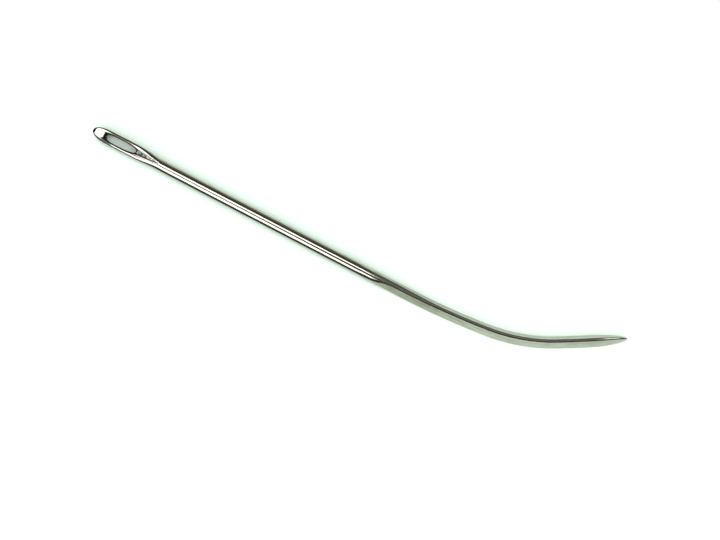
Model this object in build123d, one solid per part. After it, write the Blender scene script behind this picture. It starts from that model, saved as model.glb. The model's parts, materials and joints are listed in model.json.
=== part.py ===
from build123d import *
import os
from math import cos, degrees, radians, sqrt, tan

# Bent-tip weaving needle: one piece of plated steel wire with an eyed head and a three-sided blade.
# It lies on its side, as on a table. The shank runs along X, the head is at the -X end, the blade
# bends towards +Y, and Z = 0 is the surface it rests on. All lengths are millimetres.

# Wire
SHANK_D = 2.7
LENGTH = 129.3                  # along the middle of the wire, nose to point

# Head
HEAD_W = 3.38                   # widest, beside the eye
HEAD_T = 2.0                    # flattened thickness
NOSE_LENGTH = 3.8               # the rounded end, up to its shoulders
NOSE_W = 3.2                    # across those shoulders
NOSE_TIP = 0.06                 # the first section stands this far behind the end of the nose
HEAD_WIDEST = (8.0, 10.8)       # between these distances from the nose
NECK_END = 17.3                 # from here on the wire is round

# Eye and thread groove
EYE_START = 3.1
EYE_LENGTH = 7.75
EYE_W = 1.66
EYE_RIM = 0.18                  # bevel around both mouths
GROOVE_END = 16.9
GROOVE_R = 0.70                 # at the eye
GROOVE_END_R = 0.12
GROOVE_DEPTH = 0.42             # below the face of the head, at the eye

# Bend, all in the plane of the table
STRAIGHT = 76.0                 # from the nose to the start of the bend
GENTLE_R = 205.0                # a long gentle curve first
GENTLE_TURN = 6.2
ELBOW_R = 39.0                  # then the elbow itself
ELBOW_TURN = 23.0
END_R = 270.0                   # and an almost straight end

# Blade, a triangle with its base down
GRIND_START = 70.0              # the round wire begins to flatten here
GRIND_END = 87.0                # and is fully three-sided here
GRIND_STEPS = 8
BLADE_W = 2.8                   # over the rounded base corners
BASE_CORNER_R = 0.2
RIDGE_R = 0.32
POINT_LENGTH = 8.0              # the blade narrows to its point over this length
POINT_FULLNESS = 0.65           # 1 is a plain parabola in outline, lower is fuller
POINT_END = 0.05                # the last section stands this far from the very point
POINT_HEIGHT = 0.35             # the point is this high above the table
POINT_LIFT = 4.0                # the base leaves the table over this length
BASE_TRIM = 0.02                # stock taken off the base to leave it truly flat
TRIM_START = 71.5

SHANK_R = SHANK_D / 2


def wire_path():
    """The middle of the wire seen from above, as a straight run and three tangent arcs."""
    straight = Line((0, 0), (STRAIGHT, 0))
    gentle = JernArc(straight @ 1, straight % 1, GENTLE_R, GENTLE_TURN)
    elbow = JernArc(gentle @ 1, gentle % 1, ELBOW_R, ELBOW_TURN)
    rest = LENGTH - straight.length - gentle.length - elbow.length
    end = JernArc(elbow @ 1, elbow % 1, END_R, degrees(rest / END_R))
    return Wire([straight, gentle, elbow, end])


def section_plane(path, distance):
    """A plane square to the wire, with its own X to the left of the wire and its own Y up."""
    along = path.tangent_at(distance, position_mode=PositionMode.LENGTH)
    place = path.position_at(distance, position_mode=PositionMode.LENGTH)
    return Plane(origin=place, x_dir=(-along.Y, along.X, 0), z_dir=along)


def head_half_width(x):
    """Half-ellipse at the nose, a slow swell to the widest part, then a smooth taper to the shank."""
    if x < NOSE_LENGTH:
        return NOSE_W / 2 * sqrt(1 - (1 - x / NOSE_LENGTH) ** 2)
    if x < HEAD_WIDEST[0]:
        return NOSE_W / 2 + (HEAD_W - NOSE_W) / 2 * ease(x, NOSE_LENGTH, HEAD_WIDEST[0])
    return HEAD_W / 2 + (SHANK_D - HEAD_W) / 2 * ease(x, HEAD_WIDEST[1], NECK_END)


def head_half_height(x):
    """Half-ellipse at the nose, flat beside the eye, then swelling to the round shank."""
    if x < NOSE_LENGTH:
        return HEAD_T / 2 * sqrt(1 - (1 - x / NOSE_LENGTH) ** 2)
    return HEAD_T / 2 + (SHANK_D - HEAD_T) / 2 * ease(x, HEAD_WIDEST[1], NECK_END)


def ease(x, start, end):
    """0 before start, 1 after end, with a smooth S between them."""
    t = min(max((x - start) / (end - start), 0), 1)
    return t * t * (3 - 2 * t)


def head():
    """Oval sections from the nose to the round wire."""
    nose = [NOSE_TIP, 0.25, 0.6, 1.1, 1.8, 2.7, NOSE_LENGTH]
    body = [5.4, HEAD_WIDEST[0], HEAD_WIDEST[1], 12.4, 14.0, 15.6, NECK_END]
    ovals = []
    for x in nose + body:
        plane = Plane(origin=(x, 0, SHANK_R), x_dir=(0, 1, 0), z_dir=(1, 0, 0))
        ovals.append(plane * Ellipse(head_half_width(x), head_half_height(x)))
    return loft(ovals)


def eye():
    """The slot, with a bevel that opens both of its mouths."""
    middle = Location((EYE_START + EYE_LENGTH / 2, 0, SHANK_R))
    slot = extrude(SlotOverall(EYE_LENGTH, EYE_W), HEAD_T, both=True)
    mouth = SlotOverall(EYE_LENGTH + 2 * EYE_RIM, EYE_W + 2 * EYE_RIM)
    face = HEAD_T / 2
    bevel = loft([Location((0, 0, face)) * mouth,
                  Location((0, 0, face - EYE_RIM)) * SlotOverall(EYE_LENGTH, EYE_W)])
    return middle * (slot + bevel + mirror(bevel, Plane.XY))


def thread_groove():
    """A tapered trough from the eye back to the shank, on the upper and the under side."""
    start = EYE_START + EYE_LENGTH - EYE_W / 2
    low = SHANK_R + HEAD_T / 2 - GROOVE_DEPTH + GROOVE_R
    high = SHANK_D + GROOVE_END_R / 2
    ends = [Plane((start, 0, low), x_dir=(0, 1, 0), z_dir=(1, 0, 0)) * Circle(GROOVE_R),
            Plane((GROOVE_END, 0, high), x_dir=(0, 1, 0), z_dir=(1, 0, 0)) * Circle(GROOVE_END_R)]
    upper = loft(ends)
    return upper + mirror(upper, Plane.XY.offset(SHANK_R))


def round_section():
    """The round wire as three long arcs, each to become a corner, and three short ones for the sides."""
    centre = Vector(0, SHANK_R)
    corner = 59
    marks = []
    for middle in (90, 210, 330):
        marks += [middle - corner, middle + corner]
    arcs = []
    for first, last in zip(marks, marks[1:] + [marks[0] + 360]):
        arcs.append(CenterArc(centre, SHANK_R, first, last - first))
    return make_face(arcs)


def triangle_section(width, ridge_r, base_r, bottom):
    """An equal-sided triangle on its base, with rounded corners; width is over those corners."""
    side = width + 2 * base_r * (1 / tan(radians(30)) - 1)
    top = bottom + side * cos(radians(30))
    blank = make_face(Polyline((side / 2, bottom), (0, top), (-side / 2, bottom), close=True))
    rounded = fillet(blank.vertices().sort_by(Axis.Y)[:2], base_r)
    return fillet(rounded.vertices().sort_by(Axis.Y)[-1], ridge_r)


def point_scale(gap):
    """How much of the blade's full width is left at this distance from the point."""
    if gap >= POINT_LENGTH:
        return 1.0
    return (1 - (1 - gap / POINT_LENGTH) ** 2) ** POINT_FULLNESS


def blade(path):
    """Round wire, changing to a triangle, carried round the bend and drawn to a point."""
    sections = [section_plane(path, GRIND_START) * round_section()]
    for step in range(1, GRIND_STEPS):
        distance = GRIND_START + (GRIND_END - GRIND_START) * step / GRIND_STEPS
        done = ease(distance, GRIND_START, GRIND_END)
        width = SHANK_D + (BLADE_W - SHANK_D) * done
        ridge_r = SHANK_R + (RIDGE_R - SHANK_R) * done
        base_r = SHANK_R + (BASE_CORNER_R - SHANK_R) * done
        partly = triangle_section(width, ridge_r, base_r, -BASE_TRIM * done)
        sections.append(section_plane(path, distance) * partly)
    full = triangle_section(BLADE_W, RIDGE_R, BASE_CORNER_R, -BASE_TRIM)
    for distance in (GRIND_END, 90.0, 94.0, 98.0, 102.0, 106.0, 110.0, 114.0, 118.0, LENGTH - POINT_LENGTH):
        sections.append(section_plane(path, distance) * full)
    for gap in (6.6, 5.2, POINT_LIFT, 3.0, 2.1, 1.3, 0.7, 0.3, POINT_END):
        size = point_scale(gap)
        lift = POINT_HEIGHT * max(1 - gap / POINT_LIFT, 0) ** 2
        small = triangle_section(BLADE_W * size, RIDGE_R * size, BASE_CORNER_R * size, lift - BASE_TRIM)
        sections.append(section_plane(path, LENGTH - gap) * small)
    return loft(sections)


def needle():
    """Head, shank and blade as one solid, with the eye and the grooves cut and the base flat."""
    path = wire_path()
    shank_plane = Plane(origin=(NECK_END, 0, SHANK_R), x_dir=(0, 1, 0), z_dir=(1, 0, 0))
    shank = extrude(shank_plane * Circle(SHANK_R), GRIND_START - NECK_END)
    wire = head() + shank + blade(path)
    below = Location((LENGTH / 2 + TRIM_START, 0, -SHANK_D / 2)) * Box(LENGTH, LENGTH, SHANK_D)
    return wire - eye() - thread_groove() - below


def centred(solid):
    """Moved so that the origin lies under the middle of the bounding box; Z = 0 stays the table."""
    middle = solid.bounding_box().center()
    return Location((-middle.X, -middle.Y, 0)) * solid


os.makedirs("parts", exist_ok=True)
export_step(centred(needle()), "parts/needle.step")
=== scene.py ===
# %% [markdown]
# # A bent-tip weaving needle
# This lesson builds one long steel needle for rug and basket work. It has a flattened head with a
# long eye, a round shank, and a three-sided blade that bends away near the point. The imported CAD
# model is loaded first and gives the size and the place of everything; the finished needle is then
# drawn as one smooth surface around the same sizes.

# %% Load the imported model
import json
import math

import bpy
import numpy as np
from mathutils import Matrix, Vector


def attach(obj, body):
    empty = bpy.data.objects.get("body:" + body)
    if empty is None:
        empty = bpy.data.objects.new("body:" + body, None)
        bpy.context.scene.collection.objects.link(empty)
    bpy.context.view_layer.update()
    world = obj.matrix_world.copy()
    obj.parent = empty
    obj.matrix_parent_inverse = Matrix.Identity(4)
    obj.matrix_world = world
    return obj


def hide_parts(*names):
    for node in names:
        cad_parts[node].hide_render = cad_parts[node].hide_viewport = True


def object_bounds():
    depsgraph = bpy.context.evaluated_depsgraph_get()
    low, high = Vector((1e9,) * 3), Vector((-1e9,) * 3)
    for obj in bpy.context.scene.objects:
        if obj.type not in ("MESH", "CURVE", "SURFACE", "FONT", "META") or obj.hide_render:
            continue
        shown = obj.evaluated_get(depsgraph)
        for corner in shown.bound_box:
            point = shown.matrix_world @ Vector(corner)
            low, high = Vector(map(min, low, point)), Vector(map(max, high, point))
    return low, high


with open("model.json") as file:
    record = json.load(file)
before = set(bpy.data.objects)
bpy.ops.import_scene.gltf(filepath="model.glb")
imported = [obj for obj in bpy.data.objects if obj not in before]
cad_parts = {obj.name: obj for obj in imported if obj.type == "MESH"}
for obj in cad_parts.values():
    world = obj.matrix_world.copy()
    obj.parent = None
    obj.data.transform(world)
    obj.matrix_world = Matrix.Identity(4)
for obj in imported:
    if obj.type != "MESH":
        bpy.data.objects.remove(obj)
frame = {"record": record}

cad_low, cad_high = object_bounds()
mounts = {mount["name"]: mount["pos_m"] for mount in frame["record"]["mounts"]}
print("CAD box from", tuple(cad_low), "to", tuple(cad_high))

# %% [markdown]
# ## Working in the wire's own coordinates
# A bent wire is easiest to describe before it is bent. Every point gets three numbers in
# millimetres: the distance *along* the wire from the end of the nose, the distance *across* it
# (positive towards the side the blade bends to) and the height *up* from the surface it lies on.
# Bending is the last step. The CAD box says where the nose starts and the eye's mount says where
# the middle of the shank runs, so nothing is placed by eye.

# %% Lengths along the wire
MM = 0.001
LENGTH = 129.3
NOSE_START = 0.06                          # the nose ends a hair short of the measured length
POINT_END = LENGTH - 0.06
SHANK_R = mounts["eye"][2] / MM
row_x = cad_low.x / MM - NOSE_START
row_y = mounts["eye"][1] / MM
print("shank radius", round(SHANK_R, 3), "mm, nose at", round(row_x, 3), "axis at", round(row_y, 3))


# %% Small curves used everywhere
def ease(x, start, end):
    """0 at start, 1 at end and the S-curve 3t^2 - 2t^3 between them; start may be the larger one."""
    t = np.clip((x - start) / (end - start), 0.0, 1.0)
    return t * t * (3.0 - 2.0 * t)


def lower_of(a, b, blend):
    """The lower of two heights with a rounded corner: (a + b - sqrt((a - b)^2 + blend^2)) / 2."""
    return 0.5 * (a + b - np.sqrt((a - b) ** 2 + blend ** 2))


def spread(knots, counts):
    """Distances between the knots, each stretch divided evenly into its own count of steps."""
    stretches = zip(knots[:-1], knots[1:], counts)
    parts = [np.linspace(first, last, count, endpoint=False) for first, last, count in stretches]
    return np.concatenate(parts + [np.array(knots[-1:])])


# %% [markdown]
# ## The bend
# A maker straightens the wire, grinds it and bends the point last, over a former. The bend is a
# long gentle curve, then a tighter elbow, then a nearly straight end. Each part has a constant
# radius, so the heading grows in straight lines with the distance, and adding up small steps in
# the direction of the heading gives the middle line.

# %% Heading and place at each distance
BEND_KNOTS = (0.0, 76.0, 98.18, 113.84, LENGTH)
BEND_DEGREES = (0.0, 0.0, 6.2, 29.2, 32.48)
STEP = 0.02

mile = np.arange(0.0, LENGTH + STEP, STEP)
mile_heading = np.radians(np.interp(mile, BEND_KNOTS, BEND_DEGREES))
middle_heading = 0.5 * (mile_heading[1:] + mile_heading[:-1])
mile_x = np.concatenate([[0.0], np.cumsum(np.cos(middle_heading)) * STEP])
mile_y = np.concatenate([[0.0], np.cumsum(np.sin(middle_heading)) * STEP])


def bend(points):
    """Straight needle to bent needle, in metres in the row frame.

    The place on the middle line at this distance, plus `across` times the direction square to the
    heading, (-sin h, cos h); the height stays as it is.
    """
    along, across, up = points[:, 0], points[:, 1], points[:, 2]
    heading = np.interp(along, mile, mile_heading)
    x = np.interp(along, mile, mile_x) - across * np.sin(heading)
    y = np.interp(along, mile, mile_y) + across * np.cos(heading)
    return np.column_stack([x + row_x, y + row_y, up]) * MM


print("the tip bends to", round(mile_y[-1], 2), "mm off the line of the shank")

# %% [markdown]
# ## The head's outline and thickness
# The end of the wire is flattened in a press, pierced for the eye and rounded again on a belt. From
# above it is a blunt oval nose, two rails beside the eye and a waist that runs into the shank. From
# the side it starts as a thin wedge, is flat beside the eye and swells to the full wire. Across the
# head the section is fuller than an ellipse, because the press leaves its faces almost flat.

# %% Head sizes
NOSE_LENGTH = 3.8
NOSE_HALF = 1.6
HEAD_HALF = 1.63
WIDEST = (8.0, 10.8)
NECK_END = 17.3
LIP_LENGTH = 1.7                           # the thin lip at the very end of the nose
LIP_HALF = 0.46
HEAD_THICK = 1.0
INNER_FULLNESS = 1.6                       # squarer on the side the blade bends to
HEAD_ROLL = math.radians(6.0)              # the head lies slightly rolled against the blade
HEAD_SHIFT = 1.50                          # it rolls about a line this far above its middle


def half_ellipse(x, length):
    """A quarter of an ellipse: sqrt(1 - (1 - x/length)^2), from 0 at the nose to 1 at length."""
    t = np.clip((x - NOSE_START) / (length - NOSE_START), 0.0, 1.0)
    return np.sqrt(1.0 - (1.0 - t) ** 2)


def half_width(x):
    """Half-ellipse nose, a slow swell beside the eye, then an S-curve down to the shank radius."""
    nose = NOSE_HALF * half_ellipse(x, NOSE_LENGTH)
    swell = (HEAD_HALF - NOSE_HALF) * ease(x, NOSE_LENGTH, WIDEST[0])
    waist = (SHANK_R - HEAD_HALF) * ease(x, WIDEST[1], NECK_END)
    return nose + swell + waist


def half_height(x):
    """A thin elliptic lip, a wedge up to the flat of the head, then an S-curve up to the shank."""
    lip = LIP_HALF * half_ellipse(x, LIP_LENGTH)
    wedge = (HEAD_THICK - LIP_HALF) * ease(x, 0.5, 6.2)
    swell = (SHANK_R - HEAD_THICK) * ease(x, WIDEST[1], NECK_END)
    return lip + wedge + swell


def fullness(x):
    """Exponent of the section |y/w|^n + |z/h|^n = 1: 4.2 at the nose, 3.3 in the head, then 2."""
    return 3.3 + 0.9 * ease(x, 4.5, 1.0) - 1.3 * ease(x, WIDEST[1], NECK_END)


# %% [markdown]
# ## The thread groove
# Behind the eye a tapered trough on both faces lets the yarn lie flush with the wire. Its bottom is
# part of a cone, so at each distance it is the lower half of a circle whose radius shrinks and
# whose centre rises towards the shank. The trough is pressed, not ground: its floor stays rough.

# %% Groove sizes
EYE_START = 3.15
EYE_END = 11.08
GROOVE_START = 9.0
GROOVE_END = 16.9
GROOVE_R = (1.0, 0.25)
GROOVE_CENTRE = (1.36, 1.55)               # above the middle plane of the head
GROOVE_EDGE = 0.05


def groove_floor(x, y):
    """Height of the trough's floor over the middle plane: centre - sqrt(r^2 - y^2), high outside."""
    t = np.clip((x - GROOVE_START) / (GROOVE_END - GROOVE_START), 0.0, 1.0)
    radius = GROOVE_R[0] + (GROOVE_R[1] - GROOVE_R[0]) * t
    centre = GROOVE_CENTRE[0] + (GROOVE_CENTRE[1] - GROOVE_CENTRE[0]) * t
    inside = np.clip(radius ** 2 - y ** 2, 0.0, None)
    floor = centre - np.sqrt(inside) + 3.0 * np.clip(np.abs(y) - radius, 0.0, None)
    uneven = 0.030 * np.sin(5.1 * x + 2.0 * y) * np.sin(3.3 * x - 7.0 * y + 1.0)
    away = 4.0 * np.clip(x - GROOVE_END, 0.0, None) + 1.0 * ease(x, 7.5, 6.0)
    return floor + uneven * (1.0 - t) + away


def head_top(x, y):
    """Height over the middle plane: h (1 - |y/w|^n)^(1/n), cut by the groove. Also the groove mask."""
    n = fullness(x) + INNER_FULLNESS * ease(y, 0.0, 0.5) * ease(x, NECK_END, WIDEST[1])
    share = np.clip(np.abs(y) / np.maximum(half_width(x), 1e-6), 0.0, 1.0)
    plain = half_height(x) * (1.0 - share ** n) ** (1.0 / n)
    cut = lower_of(plain, groove_floor(x, y), GROOVE_EDGE)
    cut = np.where(share > 0.75, plain, cut)
    return cut, ease(plain - cut, 0.02, 0.08)


# %% [markdown]
# ## The head as a chain link
# A hole makes an ordinary lengthwise grid awkward, so the head is drawn like a link of chain: one
# parameter goes round the eye and the other goes from the wall of the eye up over its rounded rim
# and out across the face. The outer border is the outline of the head on three sides. On the
# fourth, behind the eye, it is a straight line across the head where the first ring of the shank
# takes over, point for point.

# %% Angles round a ring of the wire
HALF_RING = 66
CORNER_CROWDING = 0.6

turn = np.linspace(0.0, 2.0 * np.pi, 2 * HALF_RING, endpoint=False)
ring = turn - CORNER_CROWDING / 6.0 * np.sin(6.0 * (turn - np.pi / 6.0))
upper = np.append(ring[:HALF_RING], np.pi)
print(len(ring), "points round the wire, closest at the corners of the blade")


# %% Borders of the link
JOIN = 12.5
ROUND_STEPS = 190
EYE_HALF = 0.86
EYE_SQUARENESS = 4.2
EYE_NARROWING = 0.18                       # the eye is this share narrower at its ends
CLOSE_ANGLE = 0.42                         # half the angle of the eye that faces the shank
NOSE_CROWDING = 2.5


def eye_outline(angle):
    """Squarish oval: centre + a cos^(2/m), b sin^(2/m) with the signs kept, narrower at the nose."""
    power = 2.0 / EYE_SQUARENESS
    c, s = np.cos(angle), np.sin(angle)
    x = 0.5 * (EYE_START + EYE_END) + 0.5 * (EYE_END - EYE_START) * np.sign(c) * np.abs(c) ** power
    narrow = 1.0 - EYE_NARROWING * ((2.0 * x - EYE_START - EYE_END) / (EYE_END - EYE_START)) ** 2
    return x, EYE_HALF * narrow * np.sign(s) * np.abs(s) ** power


def evenly(x, y, count, crowd=None):
    """The curve through dense points x, y sampled at equal steps of its length, crowded where asked."""
    step = np.hypot(np.diff(x), np.diff(y))
    if crowd is not None:
        step = step * crowd
    run = np.concatenate([[0.0], np.cumsum(step)])
    at = np.linspace(0.0, run[-1], count)
    return np.interp(at, run, x), np.interp(at, run, y)


dense = np.linspace(0.0, 1.0, 6001)
near_x, near_y = eye_outline(-CLOSE_ANGLE - (np.pi - CLOSE_ANGLE) * dense)
far_x = NOSE_START + (JOIN - NOSE_START) * (1.0 - np.sin(0.5 * np.pi * dense))
far_y = -half_width(far_x)
nose_crowd = 1.0 + NOSE_CROWDING * ease(0.5 * (far_x[1:] + far_x[:-1]), 3.0, 0.3)
half_round = ROUND_STEPS // 2 + 1
rail_x, rail_y = evenly(near_x, near_y, half_round)
side_x, side_y = evenly(far_x, far_y, half_round, nose_crowd)
close_x, close_y = eye_outline(CLOSE_ANGLE * np.cos(upper))
close_far_y = half_width(np.array([JOIN])) * np.sign(np.cos(upper)) * (
    np.abs(np.cos(upper)) ** (2.0 / fullness(np.array([JOIN]))))
close_far_y = np.where(np.abs(np.cos(upper)) < 1e-12, 0.0, close_far_y)
inner_x = np.concatenate([close_x, rail_x[1:], rail_x[::-1][1:-1]])
inner_y = np.concatenate([close_y, rail_y[1:], -rail_y[::-1][1:-1]])
outer_x = np.concatenate([np.full(len(upper), JOIN), side_x[1:], side_x[::-1][1:-1]])
outer_y = np.concatenate([close_far_y, side_y[1:], -side_y[::-1][1:-1]])
print(len(inner_x), "steps round the eye")

# %% [markdown]
# ## Eye wall, rim and face
# A smooth rim matters more than anything else in a needle, because a sharp one cuts the yarn. The
# rim is a quarter circle. Below it the wall of the eye bulges a little, most at the nose end, where
# the punch met from both faces; that is what shows inside the eye from above.

# %% The upper half of the link
RIM_R = 0.20
WALL_STEPS = 10
RIM_STEPS = 9
FACE_STEPS = 30
WALL_BULGE = 0.04
NOSE_BULGE = 0.34
LOWER_RAIL_BULGE = 0.10
RIM_SHADE = (0.23, 0.10)                   # the rim stays dark this far, then fades over this
RIM_SHADE_LESS = 0.07                      # and this much less on the inner rail and at the nose
NOSE_WALL_LESS_SHADE = 0.65

reach = np.hypot(outer_x - inner_x, outer_y - inner_y)[:, None]
out_x = (outer_x - inner_x)[:, None] / reach
out_y = (outer_y - inner_y)[:, None] / reach
eye_top = head_top(inner_x + out_x[:, 0] * RIM_R, inner_y + out_y[:, 0] * RIM_R)[0][:, None]

wall = np.linspace(0.0, 1.0, WALL_STEPS, endpoint=False)[None, :]
bulge = WALL_BULGE + NOSE_BULGE * ease(inner_x, 4.6, EYE_START + 0.1)[:, None]
bulge = bulge + LOWER_RAIL_BULGE * np.clip(-2.0 * inner_y, 0.0, 1.0)[:, None]
wall_out = -bulge * (1.0 - wall ** 2)
wall_up = (eye_top - RIM_R) * wall

quarter = np.linspace(0.0, 0.5 * np.pi, RIM_STEPS, endpoint=False)[None, :]
rim_out = RIM_R * (1.0 - np.cos(quarter)) + 0.0 * reach
rim_drop = RIM_R * (1.0 - np.sin(quarter)) + 0.0 * reach

fan = np.linspace(0.0, 0.5 * np.pi, FACE_STEPS + 1)[None, :]
face_share = np.sin(fan) ** 0.85
face_out = RIM_R + (reach - RIM_R) * face_share

top_out = np.concatenate([rim_out, face_out], axis=1)
top_drop = np.concatenate([rim_drop, 0.0 * face_out], axis=1)
top_x = inner_x[:, None] + out_x * top_out
top_y = inner_y[:, None] + out_y * top_out
top_z, top_groove = head_top(top_x, top_y)
near_z = np.minimum(top_z, eye_top + 3.0 * top_out)
top_z = np.where(top_out < RIM_R, near_z, top_z) - top_drop

link_x = np.concatenate([inner_x[:, None] + out_x * wall_out, top_x], axis=1)
link_y = np.concatenate([inner_y[:, None] + out_y * wall_out, top_y], axis=1)
link_z = np.concatenate([wall_up, top_z], axis=1)
link_groove = np.concatenate([0.0 * wall_out, top_groove], axis=1)
along_eye_x = np.roll(inner_x, -1) - np.roll(inner_x, 1)
along_eye_y = np.roll(inner_y, -1) - np.roll(inner_y, 1)
square_on = np.abs(out_x[:, 0] * along_eye_y - out_y[:, 0] * along_eye_x)
square_on = (square_on / np.hypot(along_eye_x, along_eye_y))[:, None]
from_eye = np.concatenate([wall_out, top_out], axis=1) * square_on
# Painted shade: the wall of the eye and a thin band over its rim get a near-black colour. The wall is
# really left unpolished, but the colour also paints the shade inside the eye and the dark reflection
# along the rim. At the nose end, part of this painted shade is taken off again.
nose_end = ease(inner_x, 4.2, 3.4)[:, None]
narrower = np.clip(2.0 * inner_y, 0.0, 1.0)[:, None] + nose_end
shade_start = RIM_SHADE[0] - RIM_SHADE_LESS * np.clip(narrower, 0.0, 1.0)
link_rim_shade = 1.0 - ease(from_eye, shade_start, shade_start + RIM_SHADE[1])
link_rim_shade[:, :WALL_STEPS] *= 1.0 - NOSE_WALL_LESS_SHADE * nose_end * ease(1.0 - wall, 0.0, 0.5)
on_outline = np.arange(len(outer_x)) >= len(upper) - 1
on_outline[0] = True
link_z[on_outline, -1] = 0.0
print("link grid", link_x.shape, "highest", round(float(link_z.max()), 3), "mm over its middle")

# %% [markdown]
# ## Neck, shank and blade
# From the join onwards the needle is a row of rings. Over the neck a ring is the head's own
# section; along the shank it is a circle. The blade is pressed towards a triangle and then ground:
# one long flat on each upper side and a flat base. A flat at distance d from the middle, facing the
# direction f, cuts a ring at d / cos(angle from f). Taking all the cuts and the round together with
# a high power, 1 / (sum of (1/distance)^p)^(1/p), gives the nearest cut with softly rounded
# corners. The two upper flats start at different distances, as they do when they are ground by hand.

# %% Blade sizes
BLADE_MIDDLE = 0.873                       # height of the triangle's middle over the table
FLAT_DEPTH = 0.893                         # from the middle to each flat
RIDGE_REACH = 1.30
BASE_REACH = 1.586
EDGE_POWER = 12.0
RIDGE_LEAN = 0.2                           # the ridge stands this far to the inside of the bend
NEAR_FLAT = (69.8, 76.0)                   # the flat on the outside of the bend starts first
FAR_FLAT = (74.5, 88.0)                    # and the one on the inside runs out more slowly
BASE_FLAT = (70.0, 87.0)
POINT_LENGTH = 8.0
POINT_LIFT = (4.0, 0.35)


def point_scale(gap):
    """How much of the full section is left this far from the point: (1 - (1 - gap/8)^2)^0.65."""
    t = np.clip(gap / POINT_LENGTH, 0.0, 1.0)
    return (1.0 - (1.0 - t) ** 2) ** 0.65


def wire_rings(along):
    """Across, up and flat mask of every ring: one row per distance, one column per ring angle."""
    s = along[:, None]
    pressed = ease(s, *BASE_FLAT)
    middle = SHANK_R + (BLADE_MIDDLE - SHANK_R) * pressed
    low = 0.5 - 0.5 * np.sin(ring)[None, :]
    final_reach = RIDGE_REACH + (BASE_REACH - RIDGE_REACH) * low
    reach_r = SHANK_R + (final_reach - SHANK_R) * pressed
    cuts = [(270.0, middle),
            (150.0, SHANK_R * 1.02 + (FLAT_DEPTH - SHANK_R * 1.02) * ease(s, *NEAR_FLAT)),
            (30.0, SHANK_R * 1.02 + (FLAT_DEPTH - SHANK_R * 1.02) * ease(s, *FAR_FLAT))]
    round_part = (1.0 / reach_r) ** EDGE_POWER
    total = round_part
    for facing, depth in cuts:
        lean = np.clip(np.cos(ring[None, :] - math.radians(facing)), 0.0, None)
        cut = lean / depth * np.where(s > 60.0, 1.0, 0.0)
        total = total + cut ** EDGE_POWER
    cutting = ease(s, 66.0, 70.0)
    radius = total ** (-1.0 / EDGE_POWER)
    radius = reach_r + (radius - reach_r) * cutting
    size = point_scale(LENGTH - s)
    lift = POINT_LIFT[1] * np.clip(1.0 - (LENGTH - s) / POINT_LIFT[0], 0.0, None) ** 2
    ridge_share = np.clip(np.sin(ring)[None, :], 0.0, 1.0) ** 2
    across = (radius * np.cos(ring)[None, :] + RIDGE_LEAN * pressed * ridge_share) * size
    up = np.maximum((middle + radius * np.sin(ring)[None, :]) * size, 0.0) + lift
    share = np.clip(round_part / total, 0.0, 1.0)
    flat = (1.0 - share) * ease(s, 69.5, 71.5)
    return across, up, flat


# %% Rings from the join to the point
stations = spread((JOIN, NECK_END, 66.0, 92.0, 121.0, 127.0, 128.9, POINT_END),
                  (46, 40, 120, 90, 60, 40, 26))
across, up, flat = wire_rings(stations)
in_neck = stations < NECK_END
neck = stations[in_neck][:, None]
c, s = np.cos(ring)[None, :], np.sin(ring)[None, :]
c = np.where(np.abs(c) < 1e-12, 0.0, c)
power = 2.0 / fullness(neck)
neck_y = half_width(neck) * np.sign(c) * np.abs(c) ** power
neck_z, neck_groove = head_top(neck + 0.0 * c, neck_y)
across[in_neck] = neck_y
up[in_neck] = SHANK_R + np.where(s >= 0.0, neck_z, -neck_z)
groove = np.zeros_like(across)
groove[in_neck] = neck_groove
print(len(stations), "rings from", stations[0], "to", stations[-1], "mm")


# %% [markdown]
# ## One closed skin
# The two halves of the link, the rings and a last point at the tip are put into one mesh. Where
# borders meet, their points are at exactly the same place, so merging doubles sews them, and
# afterwards the skin has no open edge. Four things are stored on it for the finish: where each
# point was before bending, how far it is in the groove and on a ground flat, and its share of the
# painted shade on the eye's wall and rim.

# %% Sewing the skin
def grid_faces(rows, columns, first, closed_rows=False, closed_columns=False):
    """Quads of a grid of points numbered row by row from `first`, wrapping round where closed."""
    r = np.arange(rows if closed_rows else rows - 1)
    k = np.arange(columns if closed_columns else columns - 1)
    r, k = np.meshgrid(r, k, indexing="ij")
    r2, k2 = (r + 1) % rows, (k + 1) % columns
    quads = np.stack([r * columns + k, r * columns + k2, r2 * columns + k2, r2 * columns + k], -1)
    return quads.reshape(-1, 4) + first


def flat_points(x, y, z):
    """Three arrays of the same shape as one list of points."""
    return np.column_stack([x.ravel(), y.ravel(), z.ravel()])


upper_half = flat_points(link_x, link_y, SHANK_R + link_z)
lower_half = flat_points(link_x, link_y, SHANK_R - link_z)
rings = flat_points(stations[:, None] + 0.0 * across, across, up)
tip = np.array([[POINT_END + 0.01, 0.0, float(up[-1].mean())]])
straight = np.concatenate([upper_half, lower_half, rings, tip])
roll = HEAD_ROLL * (1.0 - ease(straight[:, 0], WIDEST[1], 20.0))
unrolled_y, unrolled_z = straight[:, 1].copy(), straight[:, 2] - SHANK_R
straight[:, 1] = unrolled_y * np.cos(roll) - (unrolled_z - HEAD_SHIFT) * np.sin(roll)
straight[:, 2] = SHANK_R + unrolled_y * np.sin(roll) + unrolled_z * np.cos(roll)

link_count = link_x.size
rows, columns = link_x.shape
skin = [grid_faces(rows, columns, 0, closed_rows=True),
        grid_faces(rows, columns, link_count, closed_rows=True)[:, ::-1],
        grid_faces(len(stations), len(ring), 2 * link_count, closed_columns=True)]
last_ring = len(straight) - 1 - len(ring) + np.arange(len(ring))
cap = np.column_stack([last_ring, np.roll(last_ring, -1), np.full(len(ring), len(straight) - 1)])

zeros = np.zeros(link_count)
masks = {
    "groove": np.concatenate([link_groove.ravel(), link_groove.ravel(), groove.ravel(), [0.0]]),
    "flat": np.concatenate([zeros, zeros, flat.ravel(), [1.0]]),
    "eye_wall_rim_shade": np.concatenate([link_rim_shade.ravel(), link_rim_shade.ravel(), 0.0 * groove.ravel(), [0.0]]),
}

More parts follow.
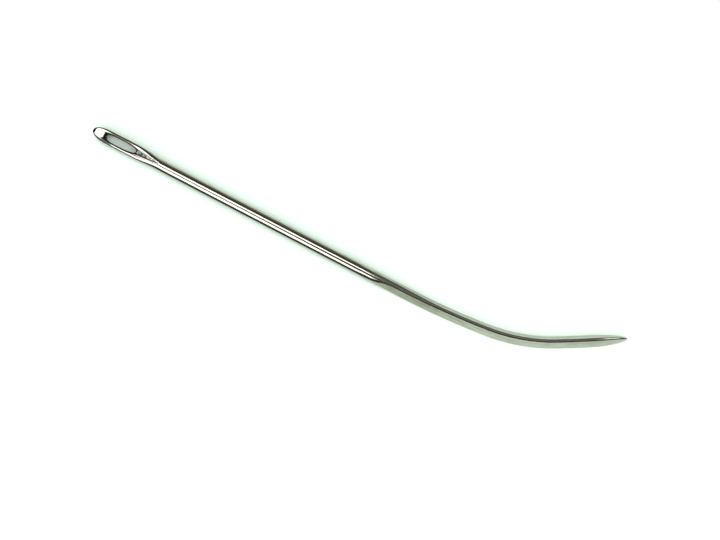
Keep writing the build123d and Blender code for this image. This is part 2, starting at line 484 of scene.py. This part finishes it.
mesh = bpy.data.meshes.new("polished_needle")
faces = [tuple(quad) for part in skin for quad in part.tolist()] + [tuple(t) for t in cap.tolist()]
mesh.from_pydata(bend(straight).tolist(), [], faces)
before = mesh.attributes.new("straight", "FLOAT_VECTOR", "POINT")
before.data.foreach_set("vector", straight.astype(np.float32).ravel())
for name, values in masks.items():
    mask = mesh.attributes.new(name, "FLOAT", "POINT")
    mask.data.foreach_set("value", values.astype(np.float32))

# %% Merge the borders and turn the faces outwards
import bmesh

SEWING_DISTANCE = 2e-7
work = bmesh.new()
work.from_mesh(mesh)
bmesh.ops.remove_doubles(work, verts=work.verts, dist=SEWING_DISTANCE)
bmesh.ops.dissolve_degenerate(work, edges=work.edges, dist=1e-9)
bmesh.ops.recalc_face_normals(work, faces=work.faces)
open_edges = sum(1 for line in work.edges if len(line.link_faces) != 2)
volume = work.calc_volume(signed=True)
work.to_mesh(mesh)
work.free()
mesh.polygons.foreach_set("use_smooth", np.ones(len(mesh.polygons), dtype=bool))
needle = bpy.data.objects.new("polished_needle", mesh)
bpy.context.scene.collection.objects.link(needle)
triangles = sum(len(face.vertices) - 2 for face in mesh.polygons)
print(triangles, "triangles,", open_edges, "open edges,", round(volume * 1e9, 1), "cubic mm")

# %% [markdown]
# ## Writing shader maths as Python
# Node graphs are quick to draw by hand and slow to read in code. One small class wraps the output
# of a node, so that `1 - mask * 0.3` adds its Math nodes by itself, and one method adds any other
# node with its settings and inputs.

# %% The socket wrapper
class Dye:
    """A value on its way through a material. Arithmetic on it adds Math nodes to the same tree."""

    def __init__(self, tree, socket=None):
        self.tree = tree
        self.socket = socket

    def node(self, kind, settings=None, inputs=None, output=0):
        """Adds one node: settings first, then a value or a link for each named input."""
        made = self.tree.nodes.new(kind)
        for key, value in (settings or {}).items():
            setattr(made, key, value)
        for key, value in (inputs or {}).items():
            if isinstance(value, Dye):
                self.tree.links.new(value.socket, made.inputs[key])
            else:
                made.inputs[key].default_value = value
        return Dye(self.tree, made.outputs[output] if len(made.outputs) else None)

    def maths(self, operation, first, second=0.0):
        """One Math node."""
        return self.node("ShaderNodeMath", {"operation": operation}, {0: first, 1: second})

    def __add__(self, other):
        return self.maths("ADD", self, other)

    def __radd__(self, other):
        return self.maths("ADD", other, self)

    def __sub__(self, other):
        return self.maths("SUBTRACT", self, other)

    def __rsub__(self, other):
        return self.maths("SUBTRACT", other, self)

    def __mul__(self, other):
        return self.maths("MULTIPLY", self, other)

    def __rmul__(self, other):
        return self.maths("MULTIPLY", other, self)

    def between(self, low, high):
        """0 below low, 1 above high, a smooth S between."""
        limits = {"Value": self, "From Min": low, "From Max": high}
        return self.node("ShaderNodeMapRange", {"interpolation_type": "SMOOTHSTEP"}, limits)

    def colour(self, first, second):
        """A mix of two colours, or of two other results, with this value as the share of the second."""
        mix = self.tree.nodes.new("ShaderNodeMix")
        mix.data_type = "RGBA"
        self.tree.links.new(self.socket, mix.inputs["Factor"])
        sockets = [put for put in mix.inputs if put.type == "RGBA"]
        for put, value in zip(sockets, (first, second)):
            if isinstance(value, Dye):
                self.tree.links.new(value.socket, put)
            else:
                put.default_value = (*value, 1.0)
        return Dye(self.tree, next(o for o in mix.outputs if o.type == "RGBA"))


def new_material(name):
    """An empty material with a Principled shader, and a Dye to draw with."""
    material = bpy.data.materials.new(name)
    material.use_nodes = True
    material.node_tree.nodes.clear()
    dye = Dye(material.node_tree)
    shader = dye.node("ShaderNodeBsdfPrincipled")
    dye.node("ShaderNodeOutputMaterial", inputs={"Surface": shader})
    return material, dye, shader.socket.node


# %% [markdown]
# ## Plated steel
# The wire is polished and then plated with bright nickel, which is slightly warm and a little
# darker than silver. Three things stop it from looking like a computer's mirror. Polishing leaves
# fine marks along the wire, so the noise is stretched along the *straight* coordinates and follows
# the bend. Handling leaves soft patches that are a little duller. In the pressed groove the plating
# is thin and pitted, so it is darker and much rougher, and the wall of the eye is left unpolished.
# Two colours are also painted shade. The ground flats of the blade are darkened, most near the
# elbow, for darker reflections there. The near-black of the eye's wall and rim paints the shade
# inside the eye and a dark reflection along the rim.

# %% Plated steel, step by step
NICKEL = (0.575, 0.56, 0.51)
STAIN_AND_FLAT_SHADE = (0.36, 0.355, 0.29)
# near black: the eye wall's unpolished steel, with painted shade on the wall and rim
UNPOLISHED_AND_SHADED = (0.035, 0.037, 0.032)
GROOVE_LIGHT = (0.56, 0.59, 0.56)
GROOVE_DARK = (0.14, 0.145, 0.125)

steel, dye, shader = new_material("bright_nickel_plate")
place = dye.node("ShaderNodeAttribute", {"attribute_name": "straight"}, output=1)
in_groove = dye.node("ShaderNodeAttribute", {"attribute_name": "groove"}, output=2)
on_flat = dye.node("ShaderNodeAttribute", {"attribute_name": "flat"}, output=2)
eye_rim_shade = dye.node("ShaderNodeAttribute", {"attribute_name": "eye_wall_rim_shade"}, output=2)


def speckle(stretch, detail, roughness=0.5):
    """Noise on the straight coordinates, in millimetres, scaled by three numbers."""
    scaled = dye.node("ShaderNodeVectorMath", {"operation": "MULTIPLY"}, {0: place, 1: stretch})
    sizes = {"Vector": scaled, "Scale": 1.0, "Detail": detail, "Roughness": roughness}
    return dye.node("ShaderNodeTexNoise", inputs=sizes)


marks = speckle((0.55, 9.0, 9.0), 3.0)
fine_marks = speckle((2.2, 34.0, 34.0), 2.0)
patches = speckle((0.35, 0.9, 0.9), 3.0).between(0.42, 0.68)
pits = speckle((1.8, 3.2, 3.2), 3.0, 0.65)
print("four layers of noise on the plating")

# %% Colour, roughness and bump of the plating
along = place.node("ShaderNodeSeparateXYZ", inputs={0: place}, output=0)
# Painted shade: the ground flats of the blade take the stained colour, strongly near the elbow and only
# a little towards the point, to darken their reflections. The handling patches are real wear.
patches_and_flat_shade = patches * 0.25 + on_flat * (0.85 - along.between(74.0, 100.0) * 0.75)
plain = patches_and_flat_shade.colour(NICKEL, STAIN_AND_FLAT_SHADE)
mottle = pits.between(0.42, 0.58)
trough = mottle.colour(GROOVE_DARK, GROOVE_LIGHT)
# the eye's wall and rim take the near-black colour: unpolished steel and painted shade
tint = eye_rim_shade.colour(in_groove.colour(plain, trough), UNPOLISHED_AND_SHADED)
rough = 0.08 + marks * 0.05 + patches * 0.04 + on_flat * 0.05 + in_groove * 0.25 + eye_rim_shade * 0.35
relief = marks * 0.3 + fine_marks * 0.15 + in_groove * pits * 6.0 + on_flat * pits * 0.35
bump = dye.node("ShaderNodeBump", inputs={"Height": relief, "Strength": 0.25, "Distance": 2e-5})
shader.inputs["Metallic"].default_value = 1.0
steel.node_tree.links.new(tint.socket, shader.inputs["Base Color"])
steel.node_tree.links.new(rough.socket, shader.inputs["Roughness"])
steel.node_tree.links.new(bump.socket, shader.inputs["Normal"])
mesh.materials.append(steel)
print("plating has", len(steel.node_tree.nodes), "nodes")

# %% The finished needle takes the CAD node's place
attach(needle, "root")
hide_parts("needle")


# %% [markdown]
# ## Table
# The needle lies on a plain white table. A single large quad is enough, because nothing of it shows
# except soft shadows.

# %% A plain pale table
TABLE_REACH = 4.0
TABLE_WHITE = (0.53, 0.60, 0.555)


def flat_sheet(name, corners, material):
    """One flat face with these corners, staged so that it isn't part of the needle."""
    sheet = bpy.data.meshes.new(name)
    sheet.from_pydata([tuple(corner) for corner in corners], [], [tuple(range(len(corners)))])
    sheet.materials.append(material)
    card = bpy.data.objects.new(name, sheet)
    bpy.context.scene.collection.objects.link(card)
    return card


paper, _, paper_shader = new_material("white_table")
paper_shader.inputs["Base Color"].default_value = (*TABLE_WHITE, 1.0)
paper_shader.inputs["Roughness"].default_value = 0.75
table_corners = [(x, y, 0.0) for x, y in ((-1, -1), (1, -1), (1, 1), (-1, 1))]
table = flat_sheet("table", [Vector(corner) * TABLE_REACH for corner in table_corners], paper)

# %% [markdown]
# ## Camera
# A product picture of a small thing is taken from almost straight above, with the camera leaning a
# little so that the needle runs down the frame. The view direction is written as two angles, and
# the distance is what a phone needs to fill its frame with a needle this long.

# %% Camera
ROLL = math.radians(27.81)                 # the shank runs this far below the picture's level
LEAN = math.radians(9.0)                   # off straight down
DISTANCE = 0.280
LENS = 63.5
AIM_ALONG = 0.0339 * (cad_high.x - cad_low.x)

right = Vector((math.cos(ROLL), math.sin(ROLL), 0.0))
flat_up = Vector((-math.sin(ROLL), math.cos(ROLL), 0.0))
back = Vector((0.0, 0.0, 1.0)) * math.cos(LEAN) - flat_up * math.sin(LEAN)
view_up = flat_up * math.cos(LEAN) + Vector((0.0, 0.0, 1.0)) * math.sin(LEAN)
aim = Vector(((cad_low.x + cad_high.x) / 2 + AIM_ALONG, mounts["eye"][1] + 0.00005, 0.0))
lens = bpy.data.cameras.new("camera")
lens.lens = LENS
lens.sensor_width = 36.0
lens.clip_start, lens.clip_end = 0.005, 20.0
camera = bpy.data.objects.new("camera", lens)
bpy.context.scene.collection.objects.link(camera)
camera.matrix_world = Matrix.Translation(aim + back * DISTANCE) @ Matrix(
    (right, view_up, back)).transposed().to_4x4()
bpy.context.scene.camera = camera
print("camera at", tuple(round(value, 4) for value in camera.matrix_world.translation))

# %% [markdown]
# ## Light
# Bright metal shows its surroundings, so the lamps are planned as what the metal will see. One very
# large soft lamp hangs over the table and leans to the near side: its reflection is the broad
# white band along the shank. Whoever takes the picture stands in front of a part of it, and that
# dark shape is what the blade shows. Black and grey cards stand in for the phone, the person and
# the dark parts of the room. Two black sheets on the table are a painted reflection: the needle
# shows them dark where it would show the white table. Only the metal sees them, so they are a stage
# trick, not real light.

# %% A large soft lamp
LAMP_TILT = math.radians(29.5)
LAMP_HEIGHT = 0.45
LAMP_HALF = math.radians(44.5)
LAMP_LENGTH = 1.1
LAMP_RADIANCE = 1.75

lamp = bpy.data.lights.new("soft_lamp", "AREA")
lamp.shape = "RECTANGLE"
lamp.size = LAMP_LENGTH
lamp.size_y = 2.0 * LAMP_HEIGHT * math.tan(LAMP_HALF)
lamp.energy = LAMP_RADIANCE * 4.0 * lamp.size * lamp.size_y
lamp.color = (1.0, 1.0, 0.995)
lamp_object = bpy.data.objects.new("soft_lamp", lamp)
bpy.context.scene.collection.objects.link(lamp_object)
lamp_back = Vector((0.0, -math.sin(LAMP_TILT), math.cos(LAMP_TILT)))
lamp_across = Vector((0.0, math.cos(LAMP_TILT), math.sin(LAMP_TILT)))
lamp_along = Vector((1.0, 0.0, 0.0))
lamp_object.matrix_world = Matrix.Translation(aim + lamp_back * LAMP_HEIGHT) @ Matrix(
    (lamp_along, lamp_across, lamp_back)).transposed().to_4x4()

# %% A small lamp off the point
SIDE_DISTANCE = 0.5
SIDE_SIZE = 0.16
side_lamp = bpy.data.lights.new("point_lamp", "AREA")
side_lamp.shape = "SQUARE"
side_lamp.size = SIDE_SIZE
side_lamp.energy = LAMP_RADIANCE * 4.0 * SIDE_SIZE ** 2
side_object = bpy.data.objects.new("point_lamp", side_lamp)
bpy.context.scene.collection.objects.link(side_object)
side_azimuth = math.radians(BEND_DEGREES[-1])
side_zenith = math.radians(33.0)
side_back = Vector((math.cos(side_azimuth) * math.sin(side_zenith),
                    math.sin(side_azimuth) * math.sin(side_zenith), math.cos(side_zenith)))
point_end = Vector((cad_high.x, cad_high.y, 0.0))
side_object.location = point_end + side_back * SIDE_DISTANCE
side_object.rotation_mode = "QUATERNION"
side_object.rotation_quaternion = side_back.to_track_quat("Z", "Y")

print("soft lamp", lamp.size, "by", round(lamp.size_y, 2), "m and a small lamp off the point")

# %% Two suns that only the table shows
def table_sun(name, energy, spread_degrees, towards):
    """A soft sun from one direction, hidden from reflections, so the metal doesn't show it."""
    light = bpy.data.lights.new(name, "SUN")
    light.energy = energy
    light.angle = math.radians(spread_degrees)
    holder = bpy.data.objects.new(name, light)
    bpy.context.scene.collection.objects.link(holder)
    holder.rotation_mode = "QUATERNION"
    holder.rotation_quaternion = towards.to_track_quat("Z", "Y")
    holder.visible_glossy = False


table_sun("table_fill", 1.5, 60.0, Vector((-0.15, 0.60, 0.78)).normalized())
table_sun("overhead_fill", 0.85, 20.0, Vector((0.0, 0.0, 1.0)))
print("a wide fill from the far side, and one from overhead that gets through the eye")

# %% Black and grey cards that only the metal sees
black, _, black_shader = new_material("black_card")
black_shader.inputs["Base Color"].default_value = (0.03, 0.028, 0.025, 1.0)
black_shader.inputs["Roughness"].default_value = 1.0
black_shader.inputs["Emission Color"].default_value = (1.0, 0.96, 0.9, 1.0)
black_shader.inputs["Emission Strength"].default_value = 0.01
grey, _, grey_shader = new_material("grey_card")
grey_shader.inputs["Base Color"].default_value = (0.05, 0.048, 0.045, 1.0)
grey_shader.inputs["Roughness"].default_value = 1.0
grey_shader.inputs["Emission Color"].default_value = (0.97, 1.0, 0.9, 1.0)
grey_shader.inputs["Emission Strength"].default_value = 0.24
eye_point = camera.matrix_world.translation


def unseen_card(name, corners, material):
    """A card with these corners, in metres from the shank's own line, x from the nose.

    Camera rays, shadow rays and the light on the table pass it, so only reflections meet it.
    """
    start = Vector((cad_low.x, mounts["eye"][1], 0.0))
    card = flat_sheet(name, [start + Vector(corner) for corner in corners], material)
    card.visible_camera = False
    card.visible_shadow = False
    card.visible_diffuse = False
    return card


OVER = eye_point.z + 0.02                  # just above the camera
FLOOR_CARD = 0.0001                        # just above the table
ARM_Y = -0.130
arm = [(-0.12, 0.040), (-0.03, 0.050), (0.007, 0.066), (0.043, 0.095), (0.088, 0.110)]
arm_near = [(x, ARM_Y - half, OVER) for x, half in arm]
arm_far = [(x, ARM_Y + half, OVER) for x, half in reversed(arm)]
unseen_card("arm_card", arm_near + arm_far, black)
unseen_card("corner_card", [(-0.30, -0.35, 0.10), (-0.132, -0.35, 0.10),
                            (-0.039, -0.040, 0.10), (-0.30, -0.040, 0.10)], grey)
unseen_card("person_card", [(0.062, -0.25, OVER), (0.60, -0.25, OVER), (0.60, 0.0, OVER),
                            (0.20, 0.05, OVER), (0.20, 0.30, OVER), (0.048, 0.30, OVER)], grey)
unseen_card("apron_card", [(0.066, -0.25, OVER), (0.066, -0.30, 0.0),
                           (0.60, -0.30, 0.0), (0.60, -0.25, OVER)], black)
# Painted reflection: two black sheets lie on the table, one beside the near side of the needle and one
# beyond its nose. Only the metal sees them, so the lower flanks and the nose show dark lines where they
# would reflect the white table.
unseen_card("near_floor_reflection_card", [(-0.30, -0.30, FLOOR_CARD), (0.085, -0.30, FLOOR_CARD),
                                (0.080, -0.05, FLOOR_CARD), (0.073, -0.008, FLOOR_CARD),
                                (0.069, -0.0039, FLOOR_CARD), (-0.30, -0.0039, FLOOR_CARD)], black)
unseen_card("end_floor_reflection_card", [(-0.30, -0.0039, FLOOR_CARD), (-0.0022, -0.0039, FLOOR_CARD),
                               (-0.0022, 0.05, FLOOR_CARD), (-0.30, 0.05, FLOOR_CARD)], black)
print("six cards that only the metal sees")

# %% A dim room
room = bpy.data.worlds.new("dim_room")
room.use_nodes = True
room.node_tree.nodes.clear()
air = Dye(room.node_tree)
direction = air.node("ShaderNodeTexCoord", output=0)
height = direction.node("ShaderNodeSeparateXYZ", inputs={0: direction}, output=2)
side = direction.node("ShaderNodeSeparateXYZ", inputs={0: direction}, output=1)
glow = 0.03 + side.between(-0.05, 0.45) * (0.40 - height.between(0.15, 0.85) * 0.33)
low_wall = glow.colour((0.0, 0.0, 0.0), (0.96, 1.0, 0.86))
sky = air.node("ShaderNodeBackground", inputs={"Color": low_wall, "Strength": 1.0})
air.node("ShaderNodeOutputWorld", inputs={"Surface": sky})
bpy.context.scene.world = room
bpy.context.scene.view_settings.view_transform = "Standard"
bpy.context.scene.view_settings.exposure = 0.08
bpy.context.scene.view_settings.gamma = 0.75
print("a dim room, brighter towards the far side")
